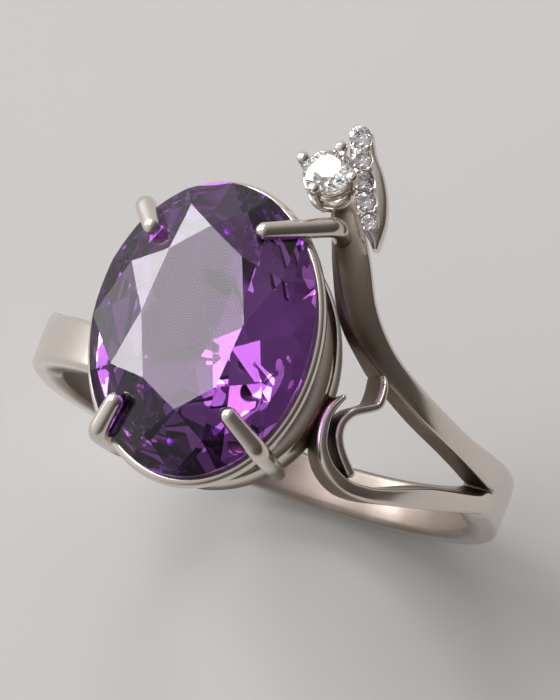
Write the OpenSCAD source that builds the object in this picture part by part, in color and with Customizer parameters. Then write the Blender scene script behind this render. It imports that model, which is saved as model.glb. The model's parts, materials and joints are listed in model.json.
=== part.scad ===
// Cocktail ring: an oval faceted gem in a four-claw basket head, carried by a band whose
// right shoulder forks into two scrolling branches, with a round accent stone in its own
// collet and a stone-set crescent beside it.
// The finger hole's centre is the origin, +Y runs along the finger, +Z up through the gem.

/* [Band] */
// Radius of the finger hole
bore_r = 8.67; // [8.25:0.01:9.1]
// Radial thickness of the band
band_t = 1.33; // [1.2:0.01:1.5]
// Width of the band where it forks
band_w = 2.44; // [2.3:0.02:2.6]
// Width of the band at the back of the finger
back_w = 2; // [1.7:0.05:2.3]

/* [Centre gem] */
// Width of the oval gem
gem_w = 8.9; // [8.7:0.1:9.1]
// Length of the oval gem
gem_l = 11.9; // [11.7:0.1:12.1]
// Height of the crown above the girdle
crown_h = 1.65; // [1.4:0.05:1.9]
// Depth of the pavilion below the girdle
pavilion_h = 3.45; // [3.2:0.05:3.55]
// Height of the girdle above the band's outer surface
gem_rise = 2.55; // [2.45:0.05:2.9]
// Turn of the head about the upright axis, in degrees
head_turn = 9.8; // [8:0.2:11.6]

/* [Head] */
// Radius of a claw's wire
claw_r = 0.4; // [0.36:0.01:0.44]
// Height of the rail under the girdle
rail_h = 0.55; // [0.4:0.05:0.7]
// Wall of the rail under the girdle
rail_t = 0.6; // [0.5:0.05:0.7]
// Wall of the rail on the finger
foot_rail_t = 0.8; // [0.7:0.05:0.9]

/* [Accent] */
// Diameter of the round accent stone
accent_d = 2; // [1.9:0.05:2.1]
// Backward lean of the accent collet, in degrees
accent_lean = 20; // [17:0.5:23]
// Diameter of the largest crescent stone
melee_d = 0.9; // [0.8:0.02:0.96]

/* [Hidden] */
$fn = 96;

outer_r = bore_r + band_t;
girdle_z = outer_r + gem_rise;
head_y = 0.42;                    // the head stands off the band's middle plane
fork_a = 84;                      // angle from the top at which the band forks
left_a = -72;                     // angle at which the left shoulder starts
far = 40;

metal = [0.78, 0.76, 0.74];
purple = [0.36, 0.1, 0.52, 0.6];
clear = [0.92, 0.93, 0.95, 0.6];

// stations: [angle from the top, y, rise above the band, width, height]
sink = band_t + 0.3;              // height that reaches through to the finger hole
upper_path = [[88, 0.56, 0, 1.26, sink], [84, 0.56, 0, 1.26, sink],
              [79, 0.56, 0, 1.22, sink], [67, 0.7, 0, 1, sink],
              [53.6, 1.12, 0.08, 1, sink + 0.08], [42.2, 1.78, 0.25, 0.98, sink + 0.2],
              [34, 2.5, 0.45, 1.12, 1.55], [26.8, 3.6, 0.75, 1.35, 1.45],
              [21.4, 5.25, 1, 1.4, 1.3], [17.3, 6.7, 1.05, 1.2, 1.1],
              [14.2, 7.5, 0.95, 0.9, 0.9]];
lower_path = [[88, -0.63, 0, 1.1, sink], [84, -0.66, 0, 1.06, sink], [79, -0.92, 0, 0.78, sink],
              [62, -1.78, 0, 0.86, sink], [50, -2.52, 0.1, 0.66, sink + 0.1],
              [43.5, -2.84, 0.2, 0.6, sink + 0.2], [38.2, -2.9, 0.3, 0.55, sink + 0.3],
              [33.2, -2.56, 0.35, 0.5, sink + 0.35], [29.9, -1.92, 0.4, 0.46, sink + 0.4],
              [28.5, -1.1, 0.45, 0.42, sink + 0.45], [28.6, -0.35, 0.5, 0.36, sink + 0.5],
              [30.3, 0.3, 0.55, 0.2, sink + 0.55]];
scroll_path = [[38.6, -2.52, 0.35, 0.34, sink + 0.35], [34.6, -1.89, 0.42, 0.34, sink + 0.42],
               [32.3, -1.32, 0.5, 0.34, sink + 0.5], [31.8, -0.71, 0.55, 0.34, sink + 0.55],
               [33.2, -0.19, 0.6, 0.34, sink + 0.6], [36.3, 0.21, 0.6, 0.32, sink + 0.6],
               [38, 0.49, 0.6, 0.3, sink + 0.6], [38.1, 0.95, 0.6, 0.26, sink + 0.6],
               [37.7, 1.35, 0.55, 0.22, sink + 0.55], [37.2, 1.75, 0.25, 0.2, sink + 0.25]];
left_path = [[-78, -0.02, 0, 2.4, sink], [-72, -0.04, 0, 2.36, sink],
             [-60, -0.28, 0, 2.12, sink], [-46, -0.5, 0, 2, sink],
             [-34, -0.72, 0, 1.9, sink], [-22, -0.9, 0, 1.8, sink]];

function unit(v) = v / norm(v);
function onRing(s) = let (r = outer_r + s[2]) [r * sin(s[0]), s[1], r * cos(s[0])];
function outward(s) = [sin(s[0]), 0, cos(s[0])];

// Catmull-Rom curve through the stations c, with n steps to a span.
function blend(a, b, c, d, t) =
    0.5 * (2 * b + (c - a) * t + (2 * a - 5 * b + 4 * c - d) * t * t
           + (3 * b - a - 3 * c + d) * t * t * t);
function smooth(c, n) =
    let (last = len(c) - 1)
    [for (i = [0:last - 1]) for (k = [0:n - 1])
        blend(c[max(i - 1, 0)], c[i], c[i + 1], c[min(i + 2, last)], k / n), c[last]];

// Section of a strip w wide and h deep with eased top edges; the third value picks the side.
function strip(w, h) =
    let (e = min(0.22, w * 0.36))
    [[-w / 2, -h], [-w / 2, -e], [-w / 2 + e * 0.3, -e * 0.3], [-w / 2 + e, 0], [w / 2 - e, 0],
     [w / 2 - e * 0.3, -e * 0.3], [w / 2, -e], [w / 2, -h]];

// Solid through a list of closed sections that all have the same number of points.
module loft(rows) {
    m = len(rows);
    n = len(rows[0]);
    polyhedron(
        points = [for (r = rows) each r],
        faces = [
            [for (j = [n - 1:-1:0]) j],
            [for (j = [0:n - 1]) (m - 1) * n + j],
            for (i = [0:m - 2]) for (j = [0:n - 1])
                let (k = (j + 1) % n)
                each [[i * n + j, i * n + k, (i + 1) * n + j],
                      [i * n + k, (i + 1) * n + k, (i + 1) * n + j]]]);
}

// Strip that follows stations over the finger, standing on edge.
module ribbon(stations, steps = 4) {
    s = smooth(stations, steps);
    last = len(s) - 1;
    p = [for (q = s) onRing(q)];
    loft([for (i = [0:last])
        let (along = unit(p[min(i + 1, last)] - p[max(i - 1, 0)]),
             up = outward(s[i]),
             side = unit(cross(up, along)))
        [for (c = strip(s[i][3], s[i][4])) p[i] + c[0] * side + c[1] * up]]);
}

module fingerHole() {
    rotate([90, 0, 0])
        cylinder(r = bore_r, h = far, center = true);
}

// Half space on the far side of the plane through the finger's axis at angle a.
module past(a, side = 1) {
    rotate([0, a, 0])
        translate([side > 0 ? 0 : -far, -far / 2, -far / 2])
            cube([far, far, far]);
}

module head() {
    translate([0, head_y, 0])
        rotate([0, 0, head_turn])
            children();
}

module oval(a, b) {
    scale([a / b, 1])
        circle(r = b);
}

// ---- band ----
module shank() {
    color(metal)
        intersection() {
            rotate([90, 0, 0])
                rotate([0, 0, -270 - left_a])
                    rotate_extrude(angle = 360 + left_a - fork_a)
                        bandSection();
            rotate([90, 0, 90])
                linear_extrude(height = far, center = true)
                    polygon([[-back_w / 2, -outer_r], [back_w / 2, -outer_r],
                             [band_w / 2, outer_r * cos(fork_a)], [band_w / 2, outer_r],
                             [-band_w / 2, outer_r], [-band_w / 2, outer_r * cos(fork_a)]]);
        }
}

module bandSection() {
    intersection() {
        translate([bore_r, -band_w])
            square([band_t, 2 * band_w]);
        translate([outer_r - 6, 0])
            circle(r = 6);
    }
}

module left_shoulder() {
    color(metal)
        difference() {
            ribbon(left_path);
            fingerHole();
            past(left_a, -1);
            footRailBlank();
        }
}

module upper_branch() {
    color(metal)
        difference() {
            ribbon(upper_path);
            fingerHole();
            past(fork_a);
        }
}

module lower_branch() {
    color(metal)
        difference() {
            ribbon(lower_path);
            fingerHole();
            past(fork_a);
            footRailBlank();
        }
}

module heart_scroll() {
    color(metal)
        difference() {
            ribbon(scroll_path);
            fingerHole();
            ribbon(upper_path);
            ribbon(lower_path);
        }
}

// ---- head ----
foot_a = 4.45;                    // half width and half length of the rail on the finger
foot_b = 5.45;
rail_out = 0.25;                  // how far the rail under the girdle stands out past it

module footRailBlank() {
    head()
        linear_extrude(height = girdle_z)
            oval(foot_a, foot_b);
}

module foot_rail() {
    color(metal)
        difference() {
            intersection() {
                head()
                    linear_extrude(height = girdle_z)
                        difference() {
                            oval(foot_a, foot_b);
                            oval(foot_a - foot_rail_t, foot_b - foot_rail_t);
                        }
                rotate([90, 0, 0])
                    cylinder(r = outer_r - 0.1, h = far, center = true);
            }
            fingerHole();
            for (k = [0:3])
                clawBlank(k);
        }
}

module gem_rail() {
    color(metal)
        difference() {
            head()
                translate([0, 0, girdle_z - 0.45 - rail_h])
                    linear_extrude(height = rail_h)
                        difference() {
                            oval(gem_w / 2 + rail_out, gem_l / 2 + rail_out);
                            oval(gem_w / 2 + rail_out - rail_t, gem_l / 2 + rail_out - rail_t);
                        }
            amethyst();
            for (k = [0:3])
                clawBlank(k);
        }
}

// claws: [x, y, height of the bend over the girdle, direction outward, arm length]
claws = [[4.3, 4.88, -0.85, 22, 2.7], [-3.22, 4.6, 0.04, 124, 1.2],
         [-3.26, -4.66, 0.04, 238, 1.2], [3.25, -4.6, 0.04, -41, 1.5]];
claw_bend = 58;                   // degrees an arm is bent in from upright
claw_turn = 0.5;                  // radius of that bend
wire_sides = 16;

// Claw's middle line in its own upright plane: [inward, height, radius].
function clawLine(c) =
    let (nose = claw_r * 0.88,
         bend_end = [claw_turn * (1 - cos(claw_bend)), claw_turn * sin(claw_bend)],
         arm = [sin(claw_bend), cos(claw_bend)],
         tip = bend_end + c[4] * arm,
         foot = outer_r - 1.6 - girdle_z - c[2])
    concat(
        [[0.42, foot, claw_r * 0.7], [0.2, foot * 0.5, claw_r * 0.86], [0.04, foot * 0.2, claw_r]],
        [for (a = [0:claw_bend / 4:claw_bend])
            [claw_turn * (1 - cos(a)), claw_turn * sin(a), claw_r]],
        [for (b = [0:18:72])
            let (q = tip + nose * sin(b) * arm) [q[0], q[1], nose * cos(b)]],
        [let (q = tip + nose * arm) [q[0], q[1], nose * 0.08]]);

module clawBlank(k) {
    c = claws[k];
    line = clawLine(c);
    last = len(line) - 1;
    inward = -[cos(c[3]), sin(c[3]), 0];
    side = cross([0, 0, 1], inward);
    top = [c[0], c[1], girdle_z + c[2]];
    head()
        loft([for (i = [0:last])
            let (m = line[i], a = line[max(i - 1, 0)], b = line[min(i + 1, last)],
                 d = unit([b[0] - a[0], b[1] - a[1]]),
                 across = d[1] * inward - d[0] * [0, 0, 1],
                 at = top + m[0] * inward + m[1] * [0, 0, 1])
            [for (j = [0:wire_sides - 1])
                let (w = -360 * j / wire_sides)
                at + m[2] * (cos(w) * across + sin(w) * side)]]);
}

// Wire between two points.
module wire(a, b, ra, rb) {
    d = b - a;
    translate(a)
        rotate([0, acos(d[2] / norm(d)), atan2(d[1], d[0])])
            cylinder(r1 = ra, r2 = rb, h = norm(d));
}

module claw(k) {
    color(metal)
        difference() {
            clawBlank(k);
            amethyst();
            fingerHole();
            if (k == 0)
                ribbon(upper_path);
        }
}

module claw_1() { claw(0); }
module claw_2() { claw(1); }
module claw_3() { claw(2); }
module claw_4() { claw(3); }

// ---- oval brilliant ----
table_a = gem_w / 2 * 0.467;
table_b = gem_l / 2 * 0.625;
girdle_t = 0.3;
arc_n = 4;                        // girdle points to a girdle facet

function ringPoint(a, b, t, z) = [a * cos(t), b * sin(t), z];
function girdleAt(t, z) = ringPoint(gem_w / 2, gem_l / 2, t, z);
function tangentAt(t) = [-gem_w / 2 * sin(t), gem_l / 2 * cos(t), 0];
function mainNormal(t, low, high) = cross(tangentAt(t), high - low);

// Point at height z that lies on both planes (normal n, point p).
function meet(n, p, m, q, z) =
    let (c = n * p - n[2] * z, d = m * q - m[2] * z, det = n[0] * m[1] - n[1] * m[0])
    [(c * m[1] - d * n[1]) / det, (n[0] * d - m[0] * c) / det, z];

function heightOn(p, q, r, x, y) =
    let (n = cross(q - p, r - p)) p[2] - (n[0] * (x - p[0]) + n[1] * (y - p[1])) / n[2];

// Tips of the star facets, or of the lower girdle facets, for one half of the stone.
function tips(zg, apex, ztip) =
    [for (k = [0:7])
        let (t = 45 * k, u = 45 * (k + 1), p = girdleAt(t, zg), q = girdleAt(u, zg))
        meet(mainNormal(t, p, apex[k]), p, mainNormal(u, q, apex[(k + 1) % 8]), q, ztip)];

// Heights of the girdle's edge, which dips where each girdle facet cuts it.
function edge(zg, tip) =
    [for (j = [0:16 * arc_n - 1])
        let (f = floor(j / arc_n), t = 22.5 * f, p = girdleAt(t, zg), q = girdleAt(t + 22.5, zg),
             g = girdleAt(j * 22.5 / arc_n, zg))
        [g[0], g[1], heightOn(p, q, tip[floor(f / 2)], g[0], g[1])]];

module amethyst() {
    up = girdle_t / 2;
    table = [for (k = [0:7]) ringPoint(table_a, table_b, 45 * k, crown_h)];
    culet = [0, 0, -pavilion_h];
    star = tips(up, table, crown_h * 0.62);
    low = tips(-up, [for (k = [0:7]) culet], -pavilion_h * 0.5);
    top_edge = edge(up, star);
    low_edge = edge(-up, low);
    n = 16 * arc_n;
    o_star = 8;
    o_top = 16;
    o_low = o_top + n;
    o_tip = o_low + n;
    o_culet = o_tip + 8;
    color(purple)
        head()
            translate([0, 0, girdle_z])
                polyhedron(
                    points = concat(table, star, top_edge, low_edge, low, [culet]),
                    faces = [
                        [for (k = [7:-1:0]) k],
                        for (k = [0:7]) [k, (k + 1) % 8, o_star + k],
                        for (k = [0:7]) [k, o_star + k, o_top + 2 * k * arc_n,
                                         o_star + (k + 7) % 8],
                        for (f = [0:15]) [for (j = [arc_n:-1:0]) o_top + (f * arc_n + j) % n,
                                          o_star + floor(f / 2)],
                        for (j = [0:n - 1]) [o_top + j, o_top + (j + 1) % n,
                                             o_low + (j + 1) % n, o_low + j],
                        for (f = [0:15]) [for (j = [0:arc_n]) o_low + (f * arc_n + j) % n,
                                          o_tip + floor(f / 2)],
                        for (k = [0:7]) [o_culet, o_tip + (k + 7) % 8, o_low + 2 * k * arc_n,
                                         o_tip + k]]);
}

// ---- accent ----
accent_at = [2.4, 7.93, outer_r + 2.3];
accent_r = accent_d / 2;
accent_first = 85;                // angle of the first of its four claws

module accentFrame() {
    translate(accent_at)
        rotate([-accent_lean, 0, 0])
            children();
}

// Round brilliant with its girdle at height 0.
module brilliant(r, table, crown, depth, sides) {
    cylinder(r1 = r, r2 = table, h = crown, $fn = sides);
    translate([0, 0, -depth])
        cylinder(r1 = 0, r2 = r, h = depth, $fn = sides);
}

module accent_stone() {
    color(clear)
        accentFrame()
            brilliant(accent_r, accent_r * 0.56, accent_r * 0.34, accent_r * 0.86, 12);
}

module accentClawBlank(k) {
    a = accent_first + 90 * k;
    out = accent_r + 0.1;
    accentFrame()
        rotate([0, 0, a]) {
            wire([0.66, 0, -1.7], [out, 0, 0.16], 0.17, 0.23);
            translate([out, 0, 0.16])
                sphere(r = 0.27);
        }
}

module accentClaw(k) {
    color(metal)
        difference() {
            accentClawBlank(k);
            accent_stone();
            ribbon(upper_path);
        }
}

module accent_claw_1() { accentClaw(0); }
module accent_claw_2() { accentClaw(1); }
module accent_claw_3() { accentClaw(2); }
module accent_claw_4() { accentClaw(3); }

module collet_rail() {
    color(metal)
        difference() {
            accentFrame()
                translate([0, 0, -0.62])
                    difference() {
                        cylinder(r1 = accent_r - 0.04, r2 = accent_r + 0.08, h = 0.32);
                        translate([0, 0, -0.1])
                            cylinder(r = accent_r - 0.36, h = 0.6);
                    }
            accent_stone();
            for (k = [0:3])
                accentClawBlank(k);
        }
}

module collet_foot() {
    color(metal)
        difference() {
            accentFrame()
                translate([0, 0, -1.5])
                    difference() {
                        cylinder(r1 = 0.84, r2 = 0.94, h = 0.32);
                        translate([0, 0, -0.1])
                            cylinder(r = 0.5, h = 0.6);
                    }
            for (k = [0:3])
                accentClawBlank(k);
            ribbon(upper_path);
        }
}

// ---- crescent ----
crescent_path = [[3, 10.02, 1.98, 0.5], [3.03, 9.78, 2, 0.95], [3.45, 8.95, 2, 1.05],
                 [3.92, 8.15, 1.92, 1.3], [4.32, 7.4, 1.76, 1.3], [4.68, 6.65, 1.52, 1],
                 [4.84, 6.2, 1.25, 0.62], [4.92, 5.8, 1, 0.24]];
crescent_up = [0.2, -0.05, 0.98];
crescent_t = 0.85;
melee_at = [[3.04, 9.66, 2, 1], [3.38, 8.82, 2, 0.86], [3.75, 8.04, 1.92, 0.86],
            [4.08, 7.3, 1.76, 0.84], [4.48, 6.6, 1.54, 0.72]];

module crescentBlank() {
    s = smooth(crescent_path, 4);
    last = len(s) - 1;
    p = [for (q = s) [q[0], q[1], outer_r + q[2]]];
    up = unit(crescent_up);
    loft([for (i = [0:last])
        let (along = unit(p[min(i + 1, last)] - p[max(i - 1, 0)]), side = unit(cross(up, along)))
        [for (c = strip(s[i][3], crescent_t)) p[i] + c[0] * side + c[1] * up]]);
}

module meleeFrame(m) {
    translate([m[0], m[1], outer_r + m[2]])
        rotate([0, atan2(crescent_up[0], crescent_up[2]), 0])
            children();
}

module crescent() {
    color(metal)
        difference() {
            crescentBlank();
            crescent_stones();
            ribbon(upper_path);
            for (k = [0:3])
                accentClawBlank(k);
            collet_rail();
        }
}

module crescent_stones() {
    color(clear)
        for (m = melee_at)
            meleeFrame(m)
                translate([0, 0, 0.02])
                    brilliant(melee_d / 2 * m[3], melee_d * 0.27 * m[3], 0.13, 0.34, 8);
}

module crescent_beads() {
    color(metal)
        difference() {
            for (i = [0:3])
                for (side = [-1, 1])
                    let (m = (melee_at[i] + melee_at[i + 1]) / 2)
                    meleeFrame(m)
                        translate([side * 0.27, side * 0.12, 0])
                            sphere(r = 0.13);
            crescentBlank();
            crescent_stones();
        }
}

shank();
left_shoulder();
upper_branch();
lower_branch();
heart_scroll();
foot_rail();
gem_rail();
claw_1();
claw_2();
claw_3();
claw_4();
amethyst();
collet_foot();
collet_rail();
accent_claw_1();
accent_claw_2();
accent_claw_3();
accent_claw_4();
accent_stone();
crescent();
crescent_stones();
crescent_beads();
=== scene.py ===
import json
import math

import bmesh
import bpy
import numpy as np
from mathutils import Matrix, Vector


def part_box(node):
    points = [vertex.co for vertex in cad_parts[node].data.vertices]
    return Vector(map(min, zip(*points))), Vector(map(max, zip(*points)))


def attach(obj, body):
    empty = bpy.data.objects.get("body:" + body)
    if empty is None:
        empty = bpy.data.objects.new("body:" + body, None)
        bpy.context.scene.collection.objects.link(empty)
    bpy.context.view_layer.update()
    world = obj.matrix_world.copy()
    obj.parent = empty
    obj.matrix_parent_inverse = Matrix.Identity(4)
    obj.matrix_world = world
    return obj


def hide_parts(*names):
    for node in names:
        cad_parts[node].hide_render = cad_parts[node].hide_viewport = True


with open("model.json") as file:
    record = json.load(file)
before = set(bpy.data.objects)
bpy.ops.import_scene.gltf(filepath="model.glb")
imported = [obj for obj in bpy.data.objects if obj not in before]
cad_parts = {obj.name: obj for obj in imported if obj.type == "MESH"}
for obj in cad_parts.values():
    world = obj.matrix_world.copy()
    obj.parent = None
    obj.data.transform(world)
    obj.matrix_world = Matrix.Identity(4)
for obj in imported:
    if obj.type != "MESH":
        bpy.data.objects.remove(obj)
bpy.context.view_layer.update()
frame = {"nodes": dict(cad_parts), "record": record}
mm = 0.001                             # one millimetre in metres

print("stage: frame loaded")


def boxMm(node):
    return [np.array(corner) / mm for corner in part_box(node)]


# What the frame gives, in mm: where the gem sits, and the band's and the hole's radius.
gemLow, gemHigh = boxMm("amethyst")
outerR = -boxMm("shank")[0][2]
holeR = frame["record"]["mounts"][0]["dims"]["r_mm"]


# ---------- surfaces ----------
def unit(v):
    return v / np.linalg.norm(v, axis=-1, keepdims=True)


def curveThrough(stations, steps):
    # Catmull-Rom curve: between two stations, the cubic whose slope at each of them is half of the
    # step from the station before it to the one after
    c = np.asarray(stations, float)
    last = len(c) - 1
    i = np.repeat(np.arange(last), steps)
    t = np.tile(np.arange(steps) / steps, last)[:, None]
    a, b, d, e = c[np.maximum(i - 1, 0)], c[i], c[i + 1], c[np.minimum(i + 2, last)]
    inside = 0.5 * (2 * b + (d - a) * t + (2 * a - 5 * b + 4 * d - e) * t**2
                    + (3 * b - a - 3 * d + e) * t**3)
    return np.vstack([inside, c[-1]])


def easedSection(width, height, ease, dome=0.0, arc=6, fill=4):
    # rounded box hung from its top edge: a quarter circle of radius ease at each corner, straight
    # sides between them, and a top that swells by dome times one minus the square of the way out
    w, h = np.asarray(width, float)[:, None], np.asarray(height, float)[:, None]
    e = np.minimum(ease, 0.46 * np.minimum(w, h))
    turn = np.linspace(0, np.pi / 2, arc) + np.arange(4)[:, None] * np.pi / 2
    outX, outY = np.array([1, -1, -1, 1]), np.array([0, 0, 1, 1])
    x = (outX * (w / 2 - e))[..., None] + e[..., None] * np.cos(turn)
    y = (-e - outY * (h - 2 * e))[..., None] + e[..., None] * np.sin(turn)
    arcs = np.stack([x, y], -1)
    after = np.roll(arcs[:, :, :1], -1, axis=1)
    share = (np.arange(1, fill + 1) / (fill + 1))[:, None]
    loop = np.concatenate([arcs, arcs[:, :, -1:] * (1 - share) + after * share], axis=2)
    loop = loop.reshape(len(loop), -1, 2)
    spread = 1 - (2 * loop[..., 0] / w) ** 2
    loop[..., 1] += dome * spread * (1 + loop[..., 1] / h)
    return loop


def gridFaces(rows, columns, ringClosed):
    # quads between neighbouring rows; the columns close on themselves, as the rows do if ringClosed
    i = np.arange(rows if ringClosed else rows - 1)[:, None]
    j = np.arange(columns)[None, :]
    iNext, jNext = (i + 1) % rows, (j + 1) % columns
    corners = [i * columns + j, i * columns + jNext, iNext * columns + jNext, iNext * columns + j]
    return np.stack(np.broadcast_arrays(*corners), -1).reshape(-1, 4).tolist()


def closedBody(grid, ringClosed=False):
    # a grid of rings as a closed body: each open end is a fan round the middle of its ring
    rows, columns = grid.shape[:2]
    points = grid.reshape(-1, 3)
    faces = gridFaces(rows, columns, ringClosed)
    if not ringClosed:
        middles = np.array([grid[0].mean(0), grid[-1].mean(0)])
        n = len(points)
        points = np.vstack([points, middles])
        j = np.arange(columns)
        k = (j + 1) % columns
        end = (rows - 1) * columns
        faces += np.stack([k, j, np.full(columns, n)], -1).tolist()
        faces += np.stack([end + j, end + k, np.full(columns, n + 1)], -1).tolist()
    return points, faces


def signedVolume(points, faces):
    # sum of the tetrahedra from the origin to each triangle of each face's fan
    size = max(len(f) for f in faces)
    padded = np.array([list(f) + [f[-1]] * (size - len(f)) for f in faces])
    p = points[padded]
    return sum(np.einsum("ij,ij->i", p[:, 0], np.cross(p[:, k], p[:, k + 1])).sum()
               for k in range(1, size - 1)) / 6


def addPiece(name, bodies, sharpAt=None, recess=None):
    # one mesh object in metres from bodies given as (points, faces) in mm, faces turned outwards,
    # with each point's painted shade share
    points, faces, start = [], [], 0
    for p, f in bodies:
        p = np.asarray(p, float)
        if signedVolume(p, f) < 0:
            f = [list(reversed(one)) for one in f]
        points.append(p)
        faces += [[i + start for i in one] for one in f]
        start += len(p)
    mesh = bpy.data.meshes.new(name)
    mesh.from_pydata((np.vstack(points) * mm).tolist(), [], faces)
    mesh.polygons.foreach_set("use_smooth", [sharpAt != 0] * len(mesh.polygons))
    if sharpAt:
        mesh.set_sharp_from_angle(angle=math.radians(sharpAt))
    # each point's share of painted shade, stored on the mesh for the silver material
    shade = np.zeros(len(mesh.vertices), np.float32)
    if recess is not None:
        flat = np.asarray(recess, np.float32).reshape(-1)
        shade[:len(flat)] = flat
    mesh.attributes.new("recess", "FLOAT", "POINT").data.foreach_set("value", shade)
    mesh.update()
    piece = bpy.data.objects.new(name, mesh)
    bpy.context.scene.collection.objects.link(piece)
    return piece


def smoothStep(low, high, value):
    t = np.clip((value - low) / (high - low), 0, 1)
    return t * t * (3 - 2 * t)


def onBand(s):
    # station (angle from the top, y, rise over the band) to a point and the outward direction there
    a = np.radians(s[:, 0])
    out = np.stack([np.sin(a), 0 * a, np.cos(a)], -1)
    return (outerR + s[:, 2])[:, None] * out + s[:, 1:2] * np.array([0, 1, 0]), out


def ribbon(shape, steps=14):
    # a rounded strip on edge over the finger: at each station its section stands along the outward
    # direction, and never reaches below the finger hole; an end may be rounded like a half drum
    s = curveThrough(shape["path"], steps)
    spine, out = onBand(s)
    along = unit(np.gradient(spine, axis=0))
    side = unit(np.cross(out, along))
    width, drop = s[:, 3].copy(), np.zeros(len(s))
    walked = np.concatenate([[0], np.cumsum(np.linalg.norm(np.diff(spine, axis=0), axis=1))])
    for rounded, distance in zip(shape["roundEnds"], (walked, walked[-1] - walked)):
        if rounded:
            nose = np.clip(distance / (width / 2), 0, 1)
            shrink = np.sqrt(np.maximum(1 - (1 - nose) ** 2, 0.004))
            drop += 0.5 * width * (1 - shrink)
            width *= shrink
    height = np.minimum(s[:, 4], outerR + s[:, 2] - holeR)
    section = easedSection(width, height - drop, shape["ease"], shape["dome"])
    section[..., 1] -= drop[:, None]
    grid = spine[:, None] + section[..., :1] * side[:, None] + section[..., 1:] * out[:, None]
    return grid, ribbonPaintedShade(shape, np.abs(s[:, :1]), section[..., 0] / s[:, 3:4], -section[..., 1])


def ribbonPaintedShade(shape, angle, across, depth):
    # painted shade: the walls darken with depth, near the band only on the side of the opening, and
    # the top darkens by the shaded share towards the head
    kept = np.maximum(smoothStep(86, 58, angle), smoothStep(0, 0.3, across * shape["opening"]))
    walls = smoothStep(*shape["dark"], depth) * kept
    top = shape["shaded"] * smoothStep(-0.42, 0.3, across) * smoothStep(46, 32, angle)
    return np.maximum(walls, top)


# ---------- shader nodes ----------
class Reading:
    # a socket on which sums and products add their Math nodes
    def __init__(self, nodes, socket):
        self.nodes, self.socket = nodes, socket

    def worked(self, operation, a, b):
        node = self.nodes.make("ShaderNodeMath", {"operation": operation}, {0: a, 1: b})
        return Reading(self.nodes, node.outputs[0])

    def __add__(self, other):
        return self.worked("ADD", self, other)

    def __radd__(self, other):
        return self.worked("ADD", other, self)

    def __sub__(self, other):
        return self.worked("SUBTRACT", self, other)

    def __rsub__(self, other):
        return self.worked("SUBTRACT", other, self)

    def __mul__(self, other):
        return self.worked("MULTIPLY", self, other)

    def __rmul__(self, other):
        return self.worked("MULTIPLY", other, self)


class NodeSet:
    # the nodes of one material or world
    def __init__(self, tree):
        self.tree = tree
        self.tree.nodes.clear()

    def make(self, kind, settings=None, sockets=None):
        # a node of that type: its settings first, then its sockets' values or links
        node = self.tree.nodes.new(kind)
        for key, value in (settings or {}).items():
            if key == "stops":
                self.setStops(node.color_ramp, value)
            else:
                setattr(node, key, value)
        for key, value in (sockets or {}).items():
            socket = node.inputs[key]
            if isinstance(value, Reading):
                value = value.socket
            if isinstance(value, bpy.types.NodeSocket):
                self.tree.links.new(value, socket)
            else:
                socket.default_value = value
        return node

    def setStops(self, ramp, stops):
        while len(ramp.elements) > len(stops):
            ramp.elements.remove(ramp.elements[-1])
        while len(ramp.elements) < len(stops):
            ramp.elements.new(1)
        for element, (place, colour) in zip(ramp.elements, stops):
            element.position, element.color = place, colour

    def read(self, node, output=0):
        return Reading(self, node.outputs[output])

    def mixed(self, share, a, b):
        node = self.make("ShaderNodeMix", {"data_type": "RGBA"}, {0: share, 6: a, 7: b})
        return node.outputs[2]

    def noise(self, place, scale, detail):
        sockets = {"Vector": place, "Scale": scale, "Detail": detail}
        return self.read(self.make("ShaderNodeTexNoise", None, sockets), "Fac")

    def objectPlace(self):
        return self.make("ShaderNodeTexCoord").outputs["Object"]

    def stretched(self, place, scale, turn=(0, 0, 0)):
        return self.make("ShaderNodeMapping", None,
                         {"Vector": place, "Scale": scale, "Rotation": turn}).outputs[0]


def newMaterial(name):
    material = bpy.data.materials.new(name)
    material.use_nodes = True
    return material, NodeSet(material.node_tree)


silverLook = {
    "polished": (0.76, 0.7, 0.645, 1),     # colour of the bright faces
    "cloudShade": (0.93, 0.93, 0.93, 1),   # how far the cloudy polish darkens them
    "paintedShadeColour": (0.14, 0.093, 0.062, 1),  # painted shade colour, deep in the piercings and on shaded walls
    "gloss": 0.13,                         # roughness of a fresh polish
    "cloudGloss": 0.08,                    # roughness that the cloudy polish adds
    "lineGloss": 0.06,                     # roughness that crossing polishing lines add
    "paintedShadeGloss": 0.3,                   # roughness added where the painted shade is full
    "scratches": 0.05,                     # strength of the polishing lines' bump
    "scratchDepth": 0.00002,               # their depth in metres
}


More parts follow.
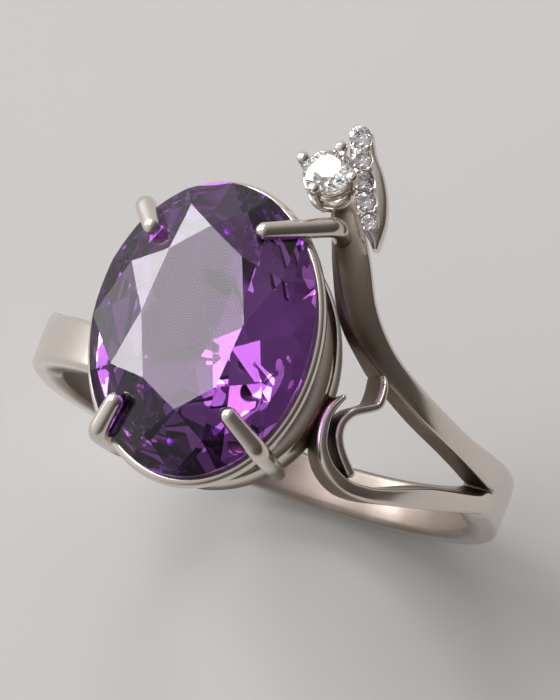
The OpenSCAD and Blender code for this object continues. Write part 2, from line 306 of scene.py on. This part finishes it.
def polishedSilver():
    # bright metal: cloudy polish, fine polishing lines both ways, and dark brown painted shade in the
    # recesses
    material, nodes = newMaterial("polishedSilver")
    place = nodes.objectPlace()
    cloud = nodes.noise(place, 420, 4)
    lines = nodes.noise(nodes.stretched(place, (900, 12000, 900), (0.3, 0.2, 0.5)), 1, 3)
    cross = nodes.noise(nodes.stretched(place, (9000, 700, 1100), (0.1, 0.6, 0.2)), 1, 3)
    # painted shade: each point's stored share mixes the bright metal towards dark brown
    recess = nodes.read(nodes.make("ShaderNodeAttribute", {"attribute_name": "recess"}), "Fac")
    patchy = recess * (0.6 + cloud * 0.8)
    share = nodes.read(nodes.make("ShaderNodeClamp", None, {"Value": patchy}))
    tone = nodes.mixed(cloud, silverLook["cloudShade"], (1, 1, 1, 1))
    bright = nodes.make("ShaderNodeMix", {"data_type": "RGBA", "blend_type": "MULTIPLY"},
                        {0: 1.0, 6: silverLook["polished"], 7: tone}).outputs[2]
    colour = nodes.mixed(share, bright, silverLook["paintedShadeColour"])
    gloss = (silverLook["gloss"] + cloud * silverLook["cloudGloss"]
             + lines * cross * silverLook["lineGloss"] + share * silverLook["paintedShadeGloss"])
    bump = nodes.make("ShaderNodeBump", None, {
        "Strength": silverLook["scratches"], "Distance": silverLook["scratchDepth"],
        "Height": lines + cross})
    skin = nodes.make("ShaderNodeBsdfPrincipled", None, {
        "Base Color": colour, "Roughness": gloss, "Metallic": 1.0, "Normal": bump.outputs[0]})
    nodes.make("ShaderNodeOutputMaterial", None, {"Surface": skin.outputs[0]})
    return material


def cutStone(name, look):
    # a clear faceted stone: two tints in soft growth zones, light soaked up along its way through,
    # and back facets that return what reaches them from inside, as those of a deep cut do
    material, nodes = newMaterial(name)
    place = nodes.objectPlace()
    zones = nodes.noise(nodes.stretched(place, (1, 0.5, 1.6)), look["zoning"], 2)
    tint = nodes.make("ShaderNodeValToRGB", {"stops": [(0.35, look["deep"]), (0.65, look["pale"])]},
                      {"Fac": zones})
    wipe = nodes.noise(place, 500, 2) * 0.006
    skin = nodes.make("ShaderNodeBsdfPrincipled", None, {
        "Base Color": tint.outputs[0], "Roughness": wipe, "IOR": look["index"],
        "Transmission Weight": 1.0})
    links = {"Surface": skin.outputs[0]}
    if "returned" in look:
        back = nodes.make("ShaderNodeBsdfPrincipled", None, {
            "Base Color": look["returned"], "Roughness": 0.02, "Metallic": 1.0})
        inside = nodes.read(nodes.make("ShaderNodeNewGeometry"), "Backfacing")
        parts = nodes.make("ShaderNodeSeparateXYZ", None, {"Vector": place})
        below = nodes.read(nodes.make("ShaderNodeMath", {"operation": "LESS_THAN"},
                                      {0: parts.outputs[2], 1: look["returnBelow"] * mm}))
        share = inside * below * look["returnShare"]
        links["Surface"] = nodes.make("ShaderNodeMixShader", None, {
            0: share, 1: skin.outputs[0], 2: back.outputs[0]}).outputs[0]
    if "absorbed" in look:
        links["Volume"] = nodes.make("ShaderNodeVolumeAbsorption", None, {
            "Color": look["absorbed"], "Density": look["density"]}).outputs[0]
    nodes.make("ShaderNodeOutputMaterial", None, links)
    return material


def cutAway(piece, cutter):
    # the piece without the cutter's space
    modifier = piece.modifiers.new("seats", "BOOLEAN")
    modifier.object, modifier.operation, modifier.solver = cutter, "DIFFERENCE", "EXACT"
    shown = piece.evaluated_get(bpy.context.evaluated_depsgraph_get())
    cut = bpy.data.meshes.new_from_object(shown)
    piece.modifiers.clear()
    old, piece.data = piece.data, cut
    cut.name = old.name + "Cut"
    bpy.data.objects.remove(cutter)


stoneLooks = {
    "amethystGlass": {
        "deep": (0.68, 0.42, 0.76, 1), "pale": (0.8, 0.56, 0.86, 1), "zoning": 300, "index": 1.544,
        "absorbed": (0.46, 0.14, 0.57, 1), "density": 210,
        "returned": (0.9, 0.86, 0.92, 1), "returnShare": 0.85,
        "returnBelow": gemHigh[2] - 1.85,  # just under the girdle
    },
    "clearStone": {"deep": (0.97, 0.98, 1, 1), "pale": (1, 1, 1, 1), "zoning": 900, "index": 2.16},
    "paveStone": {"deep": (0.74, 0.7, 0.74, 1), "pale": (0.9, 0.87, 0.9, 1), "zoning": 900,
                  "index": 2.16},
}
silver = polishedSilver()
amethystGlass, clearGlass, paveGlass = (cutStone(name, look) for name, look in stoneLooks.items())
print("stage: materials made")


def finish(piece, material, slotName, *nodes):
    piece.data.materials.clear()
    piece.data.materials.append(material)
    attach(piece, "root")
    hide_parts(*nodes)
    return piece


# ---------- band ----------
band = {
    "from": 84, "to": 288,             # angles from the top, going under the finger
    "backWidth": 2.0, "forkWidth": 2.44, "leftWidth": 2.36,
    "ease": 0.28,                      # rounding of its edges
    "dome": 0.13,                      # swell of its outer face, less at the ends
    "innerShade": 0.72,                      # painted shade on its inner face
    "rows": 160,
}


def shankPiece():
    # the section carried round the hole; its width grows from the back up to each end
    a = np.linspace(band["from"], band["to"], band["rows"])
    ends = np.where(a < 180, band["forkWidth"], band["leftWidth"])
    far = np.where(a < 180, band["from"], band["to"])
    share = smoothStep(0, 1, np.abs(a - 180) / np.abs(far - 180))
    width = band["backWidth"] + (ends - band["backWidth"]) * share
    dome = band["dome"] * (1 - 0.7 * share)
    section = easedSection(width, outerR - holeR - dome, band["ease"] - 0.1 * share[:, None],
                           dome[:, None])
    out = np.stack([np.sin(np.radians(a)), 0 * a, np.cos(np.radians(a))], -1)
    side = np.array([0, 1, 0])
    top = (outerR - dome)[:, None, None]
    grid = (top + section[..., 1:]) * out[:, None] + section[..., :1] * side
    # painted shade on the inner face, deeper further in
    inside = smoothStep(0.5, 1.1, -section[..., 1]) * band["innerShade"]
    piece = addPiece("shankBand", [closedBody(grid)], 50, inside)
    return finish(piece, silver, "silver", "shank")


shankPiece()

# Stations are [angle from the top, y, rise over the band, width, height]; through reaches to the
# hole. Walls carry full painted shade from the second depth in dark on; shaded is the share of
# painted shade on the top near the head, and opening is 1 or -1 for the side on which the opening
# lies, or 0.
through = outerR - holeR + 0.3
branches = {
    "leftShoulder": {
        "node": "left_shoulder", "ease": 0.24, "dome": 0.04, "roundEnds": (False, False),
        "dark": (0.4, 0.9), "shaded": 0, "opening": 0,
        "path": [[-75, -0.04, 0, 2.36, through], [-72, -0.04, 0, 2.36, through],
                 [-60, -0.28, 0, 2.12, through], [-46, -0.5, 0, 2, through],
                 [-34, -0.72, 0, 1.9, through], [-25.5, -0.86, 0, 1.82, through]],
    },
    "upperBranch": {
        "node": "upper_branch", "ease": 0.17, "dome": 0.04, "roundEnds": (False, True),
        "dark": (0.04, 0.2), "shaded": 0.9, "opening": 1,
        "path": [[92, 0.56, -0.03, 1.26, through], [84, 0.56, 0, 1.26, through],
                 [79, 0.56, 0, 1.22, through], [67, 0.7, 0, 1, through],
                 [53.6, 1.12, 0.08, 1, through], [42.2, 1.78, 0.25, 0.98, through],
                 [34, 2.5, 0.45, 1.12, 1.55], [26.8, 3.6, 0.75, 1.35, 1.45],
                 [21.4, 5.25, 1, 1.4, 1.3], [17.3, 6.7, 1.05, 1.2, 1.1],
                 [14.2, 7.5, 0.95, 0.9, 0.9]],
    },
    "lowerBranch": {
        "node": "lower_branch", "ease": 0.15, "dome": 0.03, "roundEnds": (False, True),
        "dark": (0.04, 0.2), "shaded": 0, "opening": -1,
        "path": [[92, -0.63, -0.03, 1.1, through], [84, -0.66, 0, 1.06, through],
                 [79, -0.92, 0, 0.78, through], [62, -1.78, 0, 0.86, through],
                 [50, -2.52, 0.1, 0.66, through], [43.5, -2.84, 0.2, 0.6, through],
                 [38.2, -2.9, 0.3, 0.55, through], [33.2, -2.56, 0.35, 0.5, through],
                 [29.9, -1.92, 0.4, 0.46, through], [28.5, -1.1, 0.45, 0.42, through],
                 [28.6, -0.35, 0.5, 0.36, through], [30.3, 0.3, 0.55, 0.2, through]],
    },
    "heartScroll": {
        "node": "heart_scroll", "ease": 0.1, "dome": 0.02, "roundEnds": (True, True),
        "dark": (0.04, 0.2), "shaded": 0.3, "opening": 0,
        "path": [[38.6, -2.52, 0.35, 0.34, through], [34.6, -1.89, 0.42, 0.34, through],
                 [32.3, -1.32, 0.5, 0.34, through], [31.8, -0.71, 0.55, 0.34, through],
                 [33.2, -0.19, 0.6, 0.34, through], [36.3, 0.21, 0.6, 0.32, through],
                 [38, 0.49, 0.6, 0.3, through], [38.1, 0.95, 0.6, 0.26, through],
                 [37.7, 1.35, 0.55, 0.22, through], [37.2, 1.75, 0.25, 0.2, through]],
    },
}


def branchPieces():
    # where a strip reaches through to the hole, its height grows with its rise
    for name, shape in branches.items():
        path = [s[:4] + [s[4] + s[2]] if s[4] == through else s for s in shape["path"]]
        grid, recess = ribbon({**shape, "path": path})
        piece = addPiece(name, [closedBody(grid)], 50, recess)
        finish(piece, silver, "silver", shape["node"])


branchPieces()
print("stage: band and branches made")

# ---------- basket ----------
basket = {
    "turn": 9.8,                       # turn of the head about the upright axis, degrees
    "gemHalf": (4.45, 5.95), "crown": 1.65,
    "footHalf": (4.45, 5.45), "footWall": 0.8, "footTop": outerR - 0.1,
    "railOut": 0.25, "railWall": 0.58, "railHeight": 0.55, "railDrop": 0.45,
    "ease": 0.2,
}
headMiddle = np.array([*(gemLow + gemHigh)[:2] / 2, 0])
girdleZ = gemHigh[2] - basket["crown"]


def headTurned(points):
    a = math.radians(basket["turn"])
    turn = np.array([[math.cos(a), math.sin(a), 0], [-math.sin(a), math.cos(a), 0], [0, 0, 1]])
    return points @ turn + headMiddle


def ovalRows(halfX, halfY, count=180):
    # points and outward directions of an oval: half widths times cosine and sine
    t = np.linspace(0, 2 * np.pi, count, endpoint=False)
    line = np.stack([halfX * np.cos(t), halfY * np.sin(t), 0 * t], -1)
    out = unit(np.stack([halfY * np.cos(t), halfX * np.sin(t), 0 * t], -1))
    return line, out


def railPieces():
    # the rail under the girdle lies flat; the rail on the finger is cut above and below by drums;
    # both get painted shade on their inner sides, the finger rail also low down
    wall = basket["railWall"]
    line, out = ovalRows(*(half + basket["railOut"] - wall / 2 for half in basket["gemHalf"]))
    section = easedSection(np.full(len(line), wall), np.full(len(line), basket["railHeight"]),
                           basket["ease"], 0.04)
    grid = line[:, None] + section[..., :1] * out[:, None]
    grid[..., 2] = girdleZ - basket["railDrop"] + section[..., 1]
    piece = addPiece("girdleRail", [closedBody(headTurned(grid), True)], 50,
                     smoothStep(0.05, -0.25, section[..., 0]))
    finish(piece, silver, "silver", "gem_rail")

    wall = basket["footWall"]
    line, out = ovalRows(*(half - wall / 2 for half in basket["footHalf"]))
    across = headTurned(line)[:, 0]
    height = np.sqrt(basket["footTop"]**2 - across**2) - np.sqrt(holeR**2 - across**2)
    section = easedSection(np.full(len(line), wall), height, basket["ease"], 0.05)
    grid = headTurned(line[:, None] + section[..., :1] * out[:, None])
    grid[..., 2] = np.sqrt(basket["footTop"]**2 - grid[..., 0]**2) + section[..., 1]
    piece = addPiece("fingerRail", [closedBody(grid, True)], 50,
                     np.maximum(smoothStep(0.1, -0.3, section[..., 0]),
                                smoothStep(0.2, 0.8, -section[..., 1])))
    finish(piece, silver, "silver", "foot_rail")


railPieces()

# Each claw: where its bend stands, height over the girdle, way out in degrees, length of its arm.
claws = {
    "claw_1": [4.3, 4.88, -0.85, 22, 2.7], "claw_2": [-3.22, 4.6, 0.04, 124, 1.2],
    "claw_3": [-3.26, -4.66, 0.04, 238, 1.2], "claw_4": [3.25, -4.6, 0.04, -41, 1.5],
}
clawShape = {
    "radius": 0.4, "bend": 58, "bendRadius": 0.5, "sides": 28,
    "nose": 0.9,                       # the tip's radius, as a share of the wire's
    "footIn": 0.42,                    # how far in the foot stands from the bend
    "footDepth": 1.6,                  # how far the foot reaches below the band's outside
    "footTaper": 0.7,                  # the foot's radius, as a share of the wire's
    "dark": (1.2, 2.8),                # painted shade begins and ends this far below the girdle
    "slack": 0.004,                    # how much wider than the gem a claw's notch is, as a share
}


def clawBody(x, y, rise, outward, arm):
    # a round wire: up from the rail, round the bend, along the arm, and a dome at its tip
    radius, turn = clawShape["radius"], clawShape["bendRadius"]
    nose = radius * clawShape["nose"]
    bend = math.radians(clawShape["bend"])
    foot = outerR - clawShape["footDepth"] - girdleZ - rise
    climb = np.linspace(0, 1, 12)[:-1]
    taper = clawShape["footTaper"]
    lower = np.stack([clawShape["footIn"] * (1 - climb)**1.5, foot * (1 - climb),
                      radius * (taper + (1 - taper) * climb**0.7)], -1)
    b = np.linspace(0, bend, 12)
    bent = np.stack([turn * (1 - np.cos(b)), turn * np.sin(b), radius + 0 * b], -1)
    way = np.array([math.sin(bend), math.cos(bend)])
    run = np.linspace(0, 1, 14)[1:]
    straight = np.hstack([bent[-1, :2] + run[:, None] * arm * way,
                          (radius + (nose - radius) * run)[:, None]])
    c = np.linspace(0, np.pi / 2, 9)[1:]
    dome = np.hstack([straight[-1, :2] + nose * np.sin(c)[:, None] * way,
                      nose * np.maximum(np.cos(c), 0.03)[:, None]])
    line = np.vstack([lower, bent, straight, dome])
    flow = unit(np.gradient(line[:, :2], axis=0))
    o = math.radians(outward)
    inward = -np.array([math.cos(o), math.sin(o), 0])
    up = np.array([0, 0, 1])
    side = np.cross(up, inward)
    across = flow[:, 1:] * inward - flow[:, :1] * up
    spine = np.array([x, y, girdleZ + rise]) + line[:, :1] * inward + line[:, 1:2] * up
    w = np.linspace(0, 2 * np.pi, clawShape["sides"], endpoint=False)[:, None]
    ring = np.cos(w) * across[:, None] + np.sin(w) * side
    return headTurned(spine[:, None] + line[:, 2:, None] * ring)


def gemSpace():
    # a copy of the gem, a hair bigger, with its loose triangles joined so that it can cut
    cutter = amethyst.copy()
    cutter.data = amethyst.data.copy()
    bpy.context.scene.collection.objects.link(cutter)
    joined = bmesh.new()
    joined.from_mesh(cutter.data)
    bmesh.ops.remove_doubles(joined, verts=joined.verts, dist=1e-7)
    middle = Vector(((gemLow + gemHigh) / 2 * mm).tolist())
    for vertex in joined.verts:
        vertex.co = middle + (vertex.co - middle) * (1 + clawShape["slack"])
    joined.to_mesh(cutter.data)
    joined.free()
    for key in list(cutter.keys()):
        del cutter[key]
    return cutter


def clawPieces():
    for name, shape in claws.items():
        grid = clawBody(*shape)
        # painted shade on the claws' legs, under the gem
        recess = smoothStep(*clawShape["dark"], girdleZ - grid[..., 2])
        piece = addPiece("gem" + name.capitalize().replace("_", ""), [closedBody(grid)], None, recess)
        cutAway(piece, gemSpace())
        finish(piece, silver, "silver", name)


amethyst = frame["nodes"]["amethyst"]
clawPieces()
for slotIndex in range(len(amethyst.material_slots)):
    amethyst.material_slots[slotIndex].material = amethystGlass
print("stage: basket and gem made")


# ---------- accent ----------
def brilliant(halfX, halfY, tableShare, crown, depth, girdle, arc=3):
    # a brilliant cut: eight main planes above and below, each through a girdle point with a level
    # tangent there; the star and lower tips lie where neighbouring mains meet; the girdle's edge
    # lies on the planes of the sixteen girdle facets, so that it is scalloped
    k = np.arange(8)
    t = k * np.pi / 4
    step = np.pi / 8

    def rim(angle, z):
        return np.stack([halfX * np.cos(angle), halfY * np.sin(angle), z + 0 * angle], -1)

    tangent = np.stack([-halfX * np.sin(t), halfY * np.cos(t), 0 * t], -1)
    table = rim(t, 0.0) * tableShare + np.array([0, 0, crown])
    culet = np.array([[0, 0, -depth]])

    def tips(level, apex, tipLevel):
        p = rim(t, level)
        n = np.cross(tangent, apex - p)
        q, m = np.roll(p, -1, 0), np.roll(n, -1, 0)
        c = (n * p).sum(-1) - n[:, 2] * tipLevel
        d = (m * q).sum(-1) - m[:, 2] * tipLevel
        det = n[:, 0] * m[:, 1] - n[:, 1] * m[:, 0]
        return np.stack([(c * m[:, 1] - d * n[:, 1]) / det, (n[:, 0] * d - m[:, 0] * c) / det,
                         tipLevel + 0 * det], -1)

    def edge(level, tip):
        j = np.arange(16 * arc)
        f = j // arc
        p, q, g = rim(step * f, level), rim(step * (f + 1), level), rim(step * j / arc, level)
        n = np.cross(q - p, tip[f // 2] - p)
        g[:, 2] = p[:, 2] - (n[:, :2] * (g - p)[:, :2]).sum(-1) / n[:, 2]
        return g

    star = tips(girdle / 2, table, crown * 0.62)
    low = tips(-girdle / 2, culet, -depth * 0.75)
    n = 16 * arc
    oStar, oTop, oLow, oTip, oCulet = 8, 16, 16 + n, 16 + 2 * n, 24 + 2 * n
    points = np.vstack([table, star, edge(girdle / 2, star), edge(-girdle / 2, low), low, culet])
    f = np.arange(16)[:, None]
    j = np.arange(n)
    span = np.arange(arc + 1)
    faces = [k.tolist()]
    faces += np.stack([(k + 1) % 8, k, oStar + k], -1).tolist()
    faces += np.stack([k, oStar + (k + 7) % 8, oTop + 2 * k * arc, oStar + k], -1).tolist()
    faces += np.hstack([oTop + (f * arc + span) % n, oStar + f // 2]).tolist()
    faces += np.stack([oTop + (j + 1) % n, oTop + j, oLow + j, oLow + (j + 1) % n], -1).tolist()
    faces += np.hstack([oLow + (f * arc + span[::-1]) % n, oTip + f // 2]).tolist()
    faces += np.stack([0 * k + oCulet, oTip + k, oLow + 2 * k * arc, oTip + (k + 7) % 8],
                      -1).tolist()
    return points, faces


accent = {
    "at": (2.4, 7.93, 2.3),            # middle of the girdle: x, y, rise over the band
    "radius": 1.0, "lean": 20, "firstClaw": 85,
    "table": 0.55, "crown": 0.34, "depth": 0.86, "girdle": 0.05,   # shares of the radius
    "rail": (0.64, 1.05, -0.64, -0.32),   # inner and outer radius, bottom and top from the girdle
    "foot": (0.5, 0.94, -1.5, -1.18),
    "ease": 0.1,
    "wire": [[0.66, -1.7, 0.15], [0.78, -1.2, 0.18], [0.91, -0.6, 0.19], [1.04, -0.12, 0.2],
             [1.1, 0.1, 0.24], [1.08, 0.24, 0.27], [1.04, 0.36, 0.22], [1.02, 0.43, 0.12],
             [1.01, 0.46, 0]],         # way out, height, radius
}
accentAt = np.array(accent["at"]) + np.array([0, 0, outerR])


def accentPlaced(points):
    a = math.radians(accent["lean"])
    lean = np.array([[1, 0, 0], [0, math.cos(a), -math.sin(a)], [0, math.sin(a), math.cos(a)]])
    return points @ lean + accentAt


def turnedRing(inner, outer, low, high, ease, count=72):
    # a flat ring with eased edges turned about the collet's axis
    t = np.linspace(0, 2 * np.pi, count, endpoint=False)
    out = np.stack([np.cos(t), np.sin(t), 0 * t], -1)
    section = easedSection(np.full(count, outer - inner), np.full(count, high - low), ease, 0.02)
    grid = ((inner + outer) / 2 + section[..., :1]) * out[:, None]
    grid[..., 2] = high + section[..., 1]
    return closedBody(accentPlaced(grid), True)


def taperedWire(stations, angle, sides=20, steps=6):
    # a round wire in an upright plane at that angle: stations are [way out, height, radius]
    s = curveThrough(stations, steps)
    flow = unit(np.gradient(s[:, :2], axis=0))
    a = math.radians(angle)
    out, up = np.array([math.cos(a), math.sin(a), 0]), np.array([0, 0, 1])
    side = np.cross(up, out)
    across = flow[:, 1:] * out - flow[:, :1] * up
    w = np.linspace(0, 2 * np.pi, sides, endpoint=False)[:, None]
    ring = np.cos(w) * across[:, None] + np.sin(w) * side
    spine = s[:, :1] * out + s[:, 1:2] * up
    return spine[:, None] + np.maximum(s[:, 2:], 0.004)[..., None] * ring


def accentPieces():
    r = accent["radius"]
    points, faces = brilliant(r, r, accent["table"], r * accent["crown"], r * accent["depth"],
                              r * accent["girdle"])
    piece = addPiece("accentBrilliant", [(accentPlaced(points), faces)], 0)
    finish(piece, clearGlass, "clear_gem", "accent_stone")
    piece = addPiece("colletRail", [turnedRing(*accent["rail"], accent["ease"])], 50)
    finish(piece, silver, "silver", "collet_rail")
    piece = addPiece("colletFoot", [turnedRing(*accent["foot"], accent["ease"])], 50)
    finish(piece, silver, "silver", "collet_foot")
    for k in range(4):
        grid = accentPlaced(taperedWire(accent["wire"], accent["firstClaw"] + 90 * k))
        piece = addPiece(f"accentClaw{k + 1}", [closedBody(grid)])
        finish(piece, silver, "silver", f"accent_claw_{k + 1}")


accentPieces()

# ---------- crescent ----------
crescent = {
    "path": [[3, 10.02, 1.98, 0.6], [3.03, 9.78, 2, 0.95], [3.45, 8.95, 2, 1.05],
             [3.92, 8.15, 1.92, 1.3], [4.32, 7.4, 1.76, 1.3], [4.68, 6.65, 1.52, 1],
             [4.84, 6.2, 1.25, 0.62], [4.92, 5.8, 1, 0.24]],   # x, y, rise over the band, width
    "up": np.array([0.2, -0.05, 0.98]), "thick": 0.85, "ease": 0.2, "dome": 0.05,
    "stones": [[3.04, 9.66, 2, 1], [3.38, 8.82, 2, 0.86], [3.75, 8.04, 1.92, 0.86],
               [4.08, 7.3, 1.76, 0.84], [4.48, 6.6, 1.54, 0.72]],   # x, y, rise, share of the size
    "stoneSize": 0.9, "stoneRise": 0.05,
    "table": 0.56, "crown": 0.36, "depth": 0.8, "girdle": 0.05,     # shares of a stone's radius
    "seat": [[-0.36, 0, 0.1], [-0.3, 2 / 3, 0], [0.02, 1, 0.025], [0.12, 1, 0.035],
             [0.4, 1, 0.05]],          # height, share of the stone's radius, and what is added
    "bead": 0.13, "beadAside": np.array([0.27, 0.12, 0.03]),
}


def crescentTilted(points, at):
    a = math.atan2(crescent["up"][0], crescent["up"][2])
    tilt = np.array([[math.cos(a), 0, -math.sin(a)], [0, 1, 0], [math.sin(a), 0, math.cos(a)]])
    return points @ tilt + at


def ballBody(radius, at, sides=16):
    # a ball: circles of latitude, radius times sine wide at radius times cosine
    u = np.linspace(0.02, np.pi - 0.02, sides // 2 + 3)[:, None]
    w = np.linspace(0, 2 * np.pi, sides, endpoint=False)[None, :]
    grid = radius * np.stack(np.broadcast_arrays(np.sin(u) * np.cos(w), np.sin(u) * np.sin(w),
                                                 np.cos(u)), -1)
    return closedBody(grid + at)


def seatBody(radius, middle):
    # the space of a stone's seat: a round cup that stays open above the plate
    stations = [[0, height, share * radius + added] for height, share, added in crescent["seat"]]
    return closedBody(crescentTilted(taperedWire(stations, 0, 24, 3), middle))


def crescentPieces():
    path = curveThrough(crescent["path"], 14)
    spine = path[:, :3] + np.array([0, 0, outerR])
    up = unit(crescent["up"])
    along = unit(np.gradient(spine, axis=0))
    side = unit(np.cross(up, along))
    section = easedSection(path[:, 3], np.full(len(path), crescent["thick"]), crescent["ease"],
                           crescent["dome"])
    grid = spine[:, None] + section[..., :1] * side[:, None] + section[..., 1:] * up
    piece = addPiece("crescentPlate", [closedBody(grid)], 50)
    places = np.array(crescent["stones"])
    at = places[:, :3] + np.array([0, 0, outerR])
    stones = []
    for middle, size in zip(at, places[:, 3]):
        r = crescent["stoneSize"] / 2 * size
        points, faces = brilliant(r, r, crescent["table"], crescent["crown"] * r,
                                  crescent["depth"] * r, crescent["girdle"] * r, 2)
        rise = np.array([0, 0, crescent["stoneRise"]])
        stones.append((crescentTilted(points + rise, middle), faces))
        cutAway(piece, addPiece("seatCutter", [seatBody(r, middle)]))
    finish(piece, silver, "silver", "crescent")
    finish(addPiece("crescentPave", stones, 0), paveGlass, "clear_gem", "crescent_stones")
    between = (at[:-1] + at[1:]) / 2
    beads = [ballBody(crescent["bead"], middle + way * crescent["beadAside"])
             for middle in between for way in (-1, 1)]
    finish(addPiece("crescentBeads", beads), silver, "silver", "crescent_beads")


crescentPieces()
print("stage: accent and crescent made")

# ---------- studio ----------
studio = {
    "floorColour": (0.56, 0.55, 0.54, 1), "floorGrain": 0.97, "floorSize": 3.0,   # metres
    "azimuth": 58.66, "elevation": 68.91, "roll": -39.5,   # where the camera looks from, degrees
    "lens": 360, "distance": 0.28,     # focal length in mm, and the camera's distance in metres
    "aim": (0.2, 2.4, 3.3),            # the point looked at, mm
    "sky": [(0.0, (0.06, 0.05, 0.04, 1)), (0.3, (0.15, 0.135, 0.12, 1)),
            (0.55, (0.5, 0.49, 0.48, 1)), (1.0, (0.95, 0.95, 0.96, 1))],
    "boxes": {                         # direction, distance and size in metres, watts, colour
        "topLeft": ((-0.36, 0.19, 0.91), 0.8, (0.32, 0.3), 1.6, (1, 0.95, 0.985)),
        "leftStrip": ((-0.858, 0.279, 0.43), 0.9, (0.75, 0.2), 5.0, (1, 1, 1)),
        "leftFill": ((-0.99, 0.07, 0.17), 0.9, (0.6, 0.14), 0.4, (1, 1, 1)),
        "backSquare": ((-0.307, 0.743, 0.595), 0.8, (0.2, 0.2), 1.0, (1, 1, 1)),
    },
}


def paleFloor():
    # a wide sheet a hundredth of a millimetre under the band
    size = studio["floorSize"]
    z = (-outerR - 0.01) * mm
    mesh = bpy.data.meshes.new("floor")
    mesh.from_pydata([(-size, -size, z), (size, -size, z), (size, size, z), (-size, size, z)], [],
                     [(0, 1, 2, 3)])
    floor = bpy.data.objects.new("floor", mesh)
    bpy.context.scene.collection.objects.link(floor)
    material, nodes = newMaterial("palePaper")
    grain = nodes.noise(nodes.objectPlace(), 60, 3)
    darker = [c * studio["floorGrain"] for c in studio["floorColour"][:3]] + [1]
    tone = nodes.mixed(grain, studio["floorColour"], darker)
    skin = nodes.make("ShaderNodeBsdfPrincipled", None, {
        "Base Color": tone, "Roughness": 0.8, "Specular IOR Level": 0.2})
    nodes.make("ShaderNodeOutputMaterial", None, {"Surface": skin.outputs[0]})
    mesh.materials.append(material)


def softSky():
    # a grey room: bright on the left, a little brighter above and behind, dark on the right
    world = bpy.data.worlds.new("softSky")
    bpy.context.scene.world = world
    world.use_nodes = True
    nodes = NodeSet(world.node_tree)
    place = nodes.make("ShaderNodeTexCoord").outputs["Generated"]
    parts = nodes.make("ShaderNodeSeparateXYZ", None, {"Vector": place})
    x, y, z = (nodes.read(parts, i) for i in range(3))
    light = 0.5 - x * 0.5 + y * 0.12 + z * 0.12
    ramp = nodes.make("ShaderNodeValToRGB", {"stops": studio["sky"]}, {"Fac": light})
    glow = nodes.make("ShaderNodeBackground", None, {"Color": ramp.outputs[0], "Strength": 1.0})
    nodes.make("ShaderNodeOutputWorld", None, {"Surface": glow.outputs[0]})


def softBoxes():
    # square lamps that face the ring
    for name, (way, distance, size, power, colour) in studio["boxes"].items():
        light = bpy.data.lights.new(name, "AREA")
        light.shape, light.size, light.size_y = "RECTANGLE", size[0], size[1]
        light.energy, light.color = power, colour
        lamp = bpy.data.objects.new(name, light)
        bpy.context.scene.collection.objects.link(lamp)
        way = Vector(way).normalized()
        facing = way.to_track_quat("Z", "Y").to_matrix().to_4x4()
        lamp.matrix_world = Matrix.Translation(way * distance) @ facing


def camera():
    a, e, roll = (math.radians(studio[k]) for k in ("azimuth", "elevation", "roll"))
    back = Vector((math.sin(a) * math.cos(e), -math.cos(a) * math.cos(e), math.sin(e)))
    level = Vector((0, 0, 1)).cross(back).normalized()
    rise = back.cross(level)
    right = math.cos(roll) * level + math.sin(roll) * rise
    up = back.cross(right)
    lens = bpy.data.cameras.new("camera")
    lens.lens, lens.clip_start = studio["lens"], 0.01
    eye = bpy.data.objects.new("camera", lens)
    bpy.context.scene.collection.objects.link(eye)
    turn = Matrix((right, up, back)).transposed().to_4x4()
    aim = Vector(studio["aim"]) * mm
    eye.matrix_world = Matrix.Translation(aim + back * studio["distance"]) @ turn
    bpy.context.scene.camera = eye


paleFloor()
softSky()
softBoxes()
camera()

scene = bpy.context.scene
scene.view_settings.view_transform = "Standard"
scene.cycles.use_denoising = True
scene.cycles.max_bounces = 24
scene.cycles.transmission_bounces = 20
scene.cycles.glossy_bounces = 8
scene.cycles.caustics_refractive = False
scene.cycles.blur_glossy = 0.3
print("stage: studio made")
